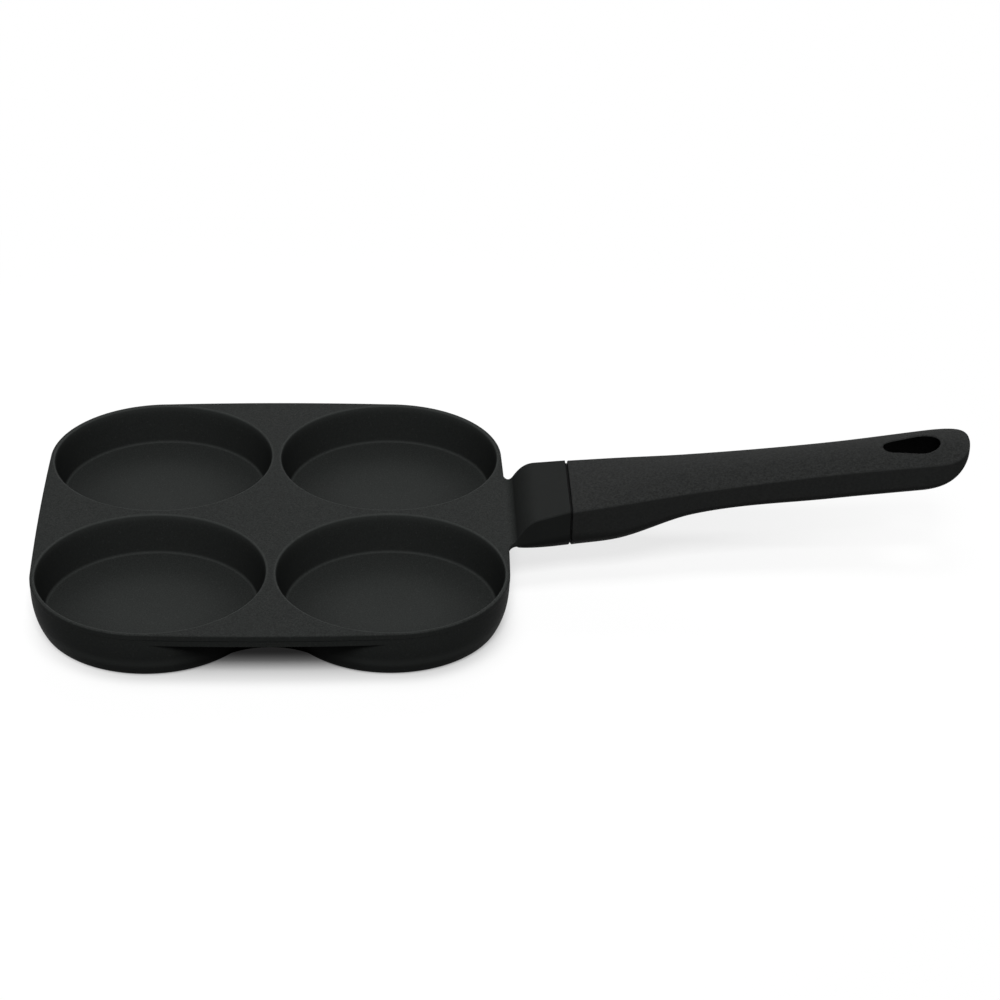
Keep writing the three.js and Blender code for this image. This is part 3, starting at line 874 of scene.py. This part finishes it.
# a cutter through the grip's underside, and through its top where that is given
def flaredCutter(name, outline, mouthRound, topZ, highZ):
    normals = outward(outline)
    steps = mouthSteps(mouthRound)
    widest = steps[-1][0]

    def ring(out, height):
        spots = [(x + nx * out, y + ny * out) for (x, y), (nx, ny) in zip(outline, normals)]
        return [(x, y, height(x, y)) for x, y in spots]

    rings = [ring(widest, lambda x, y: cutLow)]
    rings += [ring(out, lambda x, y, rise=rise: gripBottom(x, y) - rise) for out, rise in reversed(steps)]
    if topZ:
        rings += [ring(out, lambda x, y, rise=rise: topZ(x, y) + rise) for out, rise in steps]
    rings.append(ring(widest if topZ else 0, lambda x, y: highZ))
    return lofted(name, rings)


# painted shade: the upright faces inside the hang hole get a near-black colour standing in for the shade deep
# in the hole
def paintHoleShade(mesh):
    mesh.materials.append(holeShadeMaterial)
    wide, spare = hangHole["wideRadius"], hangHole["spare"]
    end = panCentre + tipX - hangHole["fromTip"] + wide
    for face in mesh.polygons:
        x, y, _ = face.center / mm
        inside = end - hangHole["length"] - spare < x < end + spare and abs(y) < wide + spare
        if inside and abs(face.normal.z) < hangHole["wallSlope"]:
            face.material_index = 1


def makeGrip():
    r, n, tips = grip["endRound"], grip["steps"], grip["tipSteps"]
    tipLength = grip["tipPlanLength"]
    bodyLength = grip["length"] - tipLength
    ends = arc(0, 0, r, 90, 0, grip["endSteps"])
    rings = [handleRing(gripStart + r - dz, gripAt(r - dz), r - dx) for dx, dz in ends]
    alongs = [r + (bodyLength - r) * i / n for i in range(1, n + 1)]
    turns = [i / tips * grip["tipEnd"] * math.pi / 2 for i in range(1, tips + 1)]
    alongs += [bodyLength + tipLength * math.sin(a) for a in turns]
    rings += [handleRing(gripStart + a, gripAt(a)) for a in alongs]
    body = lofted("gripBody", rings)
    counterbore = max(washers["flatRadius"], washers["springRadius"], screw["head"]) + gap["touching"]
    circle = [(screwX + x, y) for x, y in dropRepeats(arc(0, 0, counterbore, 0, 360, screw["steps"]))]
    bore = screw["shank"] + 2 * gap["touching"]
    carve(body, [
        lugBlock("lugRoom", gap["touching"]),
        boreCutter("shankBore", bore, seatZ - grip["boreStart"], lugBottom + gap["touching"]),
        flaredCutter("counterbore", circle, grip["boreMouthRound"], None, seatZ),
        flaredCutter("hangHole", teardrop(), hangHole["mouthRound"], gripTop, cutHigh),
    ])
    finishPiece(body, "grip", phenolic)
    # paints shade onto the upright wall inside the hang hole
    paintHoleShade(body.data)


makeGrip()

# screw, washers and bush

flatTop = seatZ - gap["touching"]
springTop = flatTop - washers["flatThickness"] - gap["touching"]
headTop = springTop - washers["springThickness"] - gap["touching"]
headBottom = headTop - screw["headHeight"]
shankRoom = screw["shank"] + gap["touching"]
screwTurn = fullTurn(screw["steps"])


def threadWave(turn, z):  # 0 at the root and 1 at the crest
    phase = (z / screw["threadPitch"] - turn / (2 * math.pi)) % 1
    return 1 - abs(2 * phase - 1)


def ringOf(radii, z):  # a ring on the screw's axis with a radius at each step of its turn
    return [(screwX + r * math.cos(a), r * math.sin(a), z) for r, a in zip(radii, screwTurn)]


# a screw thread on a rod, or in a bush when its depth is below zero
def threadRings(low, high, radius, depth):
    pitch = screw["threadPitch"]
    n = math.ceil((high - low) / pitch * screw["threadSteps"])
    rings = []
    for i in range(n + 1):
        z = low + (high - low) * i / n
        fade = min(1, (z - low) / pitch, (high - z) / pitch)
        rings.append(ringOf([radius - depth * (1 - fade * threadWave(a, z)) for a in screwTurn], z))
    return rings


def roundRing(radius, z):
    return ringOf([radius] * screw["steps"], z)


def recessArm(turns):  # one arm of the cross recess, smaller at its foot
    tool = []
    for up, share in ((-screw["recessPast"], 1.0), (screw["recessDepth"], screw["recessFoot"])):
        a = screw["recessLength"] / 2 * share
        b = screw["recessWidth"] / 2 * (1 - screw["recessTaper"] + screw["recessTaper"] * share)
        box = quarterTurned([(-a, -b), (a, -b), (a, b), (-a, b)], turns)
        tool.append([(screwX + x, y, headBottom + up) for x, y in box])
    return lofted("recess", tool)


def makeScrew():
    head, r, chamfer = screw["head"], screw["headRound"], screw["headChamfer"]
    corner = arc(0, 0, r, -90, 0, screw["headSteps"])
    rings = [roundRing(head - r + dx, headBottom + r + dz) for dx, dz in corner]
    rings += [roundRing(head, headTop - chamfer), roundRing(head - chamfer, headTop)]
    rings.append(roundRing(screw["shank"] - screw["threadDepth"], headTop))
    low, high = headTop + screw["threadStart"], lugTop - gap["touching"]
    rings += threadRings(low, high, screw["shank"], screw["threadDepth"])
    body = lofted("screw", rings)
    carve(body, [recessArm(0), recessArm(1)])
    finishPiece(body, "handle_screw", plated)


def washerProfile(outer, top, thickness, edge):
    inner, low = shankRoom, top - thickness
    return [(inner, low + edge), (inner + edge, low), (outer - edge, low), (outer, low + edge),
            (outer, top - edge), (outer - edge, top), (inner + edge, top), (inner, top - edge)]


def makeWashers():
    profile = washerProfile(washers["flatRadius"], flatTop, washers["flatThickness"], washers["flatEdge"])
    flat = turned("flatWasher", profile, screw["steps"], screwX)
    finishPiece(flat, "flat_washer", plated)
    radius = washers["springRadius"]
    profile = washerProfile(radius, springTop, washers["springThickness"], washers["springEdge"])
    split = math.degrees(math.asin(washers["springSplit"] / 2 / radius))
    rings = []
    for i in range(screw["steps"] + 1):
        a = math.radians(split + (360 - 2 * split) * i / screw["steps"])
        rings.append([(screwX + r * math.cos(a), r * math.sin(a), z) for r, z in profile])
    finishPiece(lofted("springWasher", rings), "spring_washer", springSteel)


def makeBush():
    edge, depth = bush["chamfer"], bush["knurlDepth"]
    knurled = [bush["radius"] - depth * (0.5 + 0.5 * math.cos(a * bush["knurls"])) for a in screwTurn]
    shrunk = [r - edge for r in knurled]
    rings = [ringOf(shrunk, lugBottom), ringOf(knurled, lugBottom + edge)]
    rings += [ringOf(knurled, lugTop - edge), ringOf(shrunk, lugTop)]
    rings += reversed(threadRings(lugBottom, lugTop, shankRoom, -screw["threadDepth"]))
    finishPiece(lofted("bush", rings, True), "threaded_bush", plated)


makeScrew()
makeWashers()
makeBush()

# floor, world and lights

studio = {
    "floorSize": 8.0, "floorDrop": 0.1, "floorBounce": grey(0.05), "world": 0.02,
    # painted contact shadow: the floor's shade, and its own light as a share, by the distance in metres from
    # the pan's leaning shadow; both are lower near the cups' feet
    "floorShade": (-0.012, 0.012, 0.45, 0.95), "shadowLean": (0.003, -0.004),
    "glowNear": (-0.0215, 0.01, 0.015, 0.76), "glowFar": (0.08, 0.25, 0.0, 0.24),
    # name: place in metres, size along X and Y, watts; all look at the middle of the object
    "lamps": {
        "top": ((-0.05, 0.0, 3.5), (1.0, 1.2), 45.0),
        "frontTop": ((-0.05, -2.3, 3.1), (1.0, 1.2), 120.0),
        "back": ((0.0, 2.2, 1.0), (1.6, 1.6), 20.0),
    },
}


def panDistance(graph, lean):  # distance on the floor from the outline of the cups' feet
    beyond = [offset.call("MAXIMUM", 0.0) for offset in cupOffsets(graph, lean)]
    return (beyond[0] * beyond[0] + beyond[1] * beyond[1]).call("SQRT") - footRadius * mm


# the floor is white to the eye and in gloss, keeps the shadow, is darkened near the pan's feet with a painted
# contact shadow, and throws little light back on the pan
def makeFloor(values):
    half, z = values["floorSize"] / 2 / mm, -values["floorDrop"]
    corners = [(-half, -half, z), (half, -half, z), (half, half, z), (-half, half, z)]
    floor = makeObject("floor", corners, [(0, 1, 2, 3)])
    material, graph = newMaterial("pale_floor")
    kinds = ("Is Camera Ray", "Is Glossy Ray", "Is Transmission Ray")
    eye, gloss, through = (graph.node("ShaderNodeLightPath", {}, {}, kind) for kind in kinds)
    away = panDistance(graph, values["shadowLean"])
    shade = ramp(graph, away, values["floorShade"])
    white = graph.node("ShaderNodeBsdfDiffuse", {}, {"Color": graph.blend(shade, grey(0.0), grey(1.0))})
    glow = graph.node("ShaderNodeEmission", {}, {"Color": grey(1.0), "Strength": 1.0})
    bounce = graph.node("ShaderNodeBsdfDiffuse", {}, {"Color": values["floorBounce"]})
    share = ramp(graph, away, values["glowNear"]) + ramp(graph, away, values["glowFar"])
    pale = graph.node("ShaderNodeMixShader", {}, {0: share, 1: white, 2: glow})
    mixed = graph.node("ShaderNodeMixShader", {}, {0: eye + gloss + through, 1: bounce, 2: pale})
    graph.node("ShaderNodeOutputMaterial", {}, {"Surface": mixed})
    floor.data.materials.append(material)


def makeLights(values):
    world = bpy.data.worlds.new("studio")
    world.use_nodes = True
    scene.world = world
    graph = Graph(world.node_tree)
    sky = graph.node("ShaderNodeBackground", {}, {"Color": grey(1.0), "Strength": values["world"]})
    graph.node("ShaderNodeOutputWorld", {}, {"Surface": sky})
    for name, (place, size, watts) in values["lamps"].items():
        data = bpy.data.lights.new(name, "AREA")
        data.shape, data.size, data.size_y, data.energy = "RECTANGLE", size[0], size[1], watts
        lamp = bpy.data.objects.new(name, data)
        lamp.location = place
        lamp.rotation_mode = "QUATERNION"
        lamp.rotation_quaternion = (-Vector(place)).to_track_quat("-Z", "Y")
        scene.collection.objects.link(lamp)


makeFloor(studio)
makeLights(studio)
print("floor and lights set")
